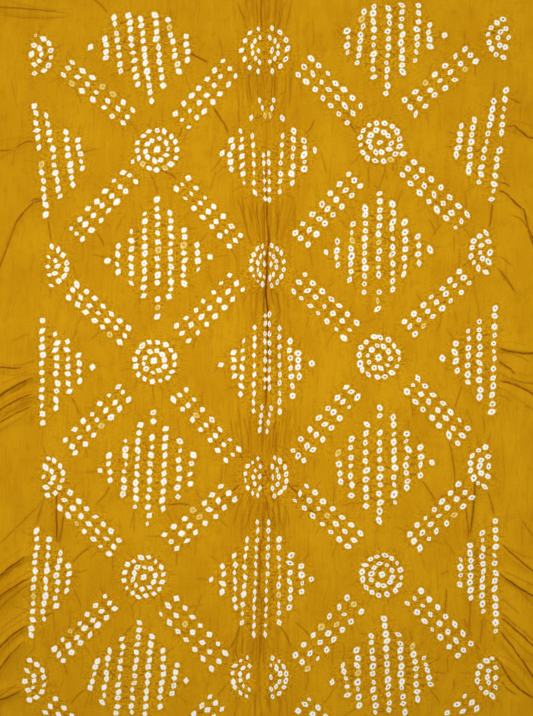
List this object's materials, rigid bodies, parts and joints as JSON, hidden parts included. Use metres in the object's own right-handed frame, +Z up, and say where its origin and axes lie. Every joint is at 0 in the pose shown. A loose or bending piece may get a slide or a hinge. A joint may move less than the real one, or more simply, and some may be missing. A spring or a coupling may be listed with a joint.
{
  "type": "bandhani fabric length",
  "caption": "Cut length of mustard tie-dyed cotton cloth lying flat in soft creases, with white resist dots set in rosettes, lozenges and slanting bars.",
  "frame": {"origin": "middle of the cloth's footprint, on the surface that it lies on", "axes": "+Z up, out of the cloth's face; +Y along the cloth's length, which is up in the picture; +X across it, to the picture's right"},
  "size_m": [0.75, 1, 0.0073],
  "materials": {
    "cloth": "soft satin cotton, mustard dye with undyed white dots"
  },
  "bodies": {
    "root": {"bandhani_cloth": "cloth"}
  },
  "joints": []
}
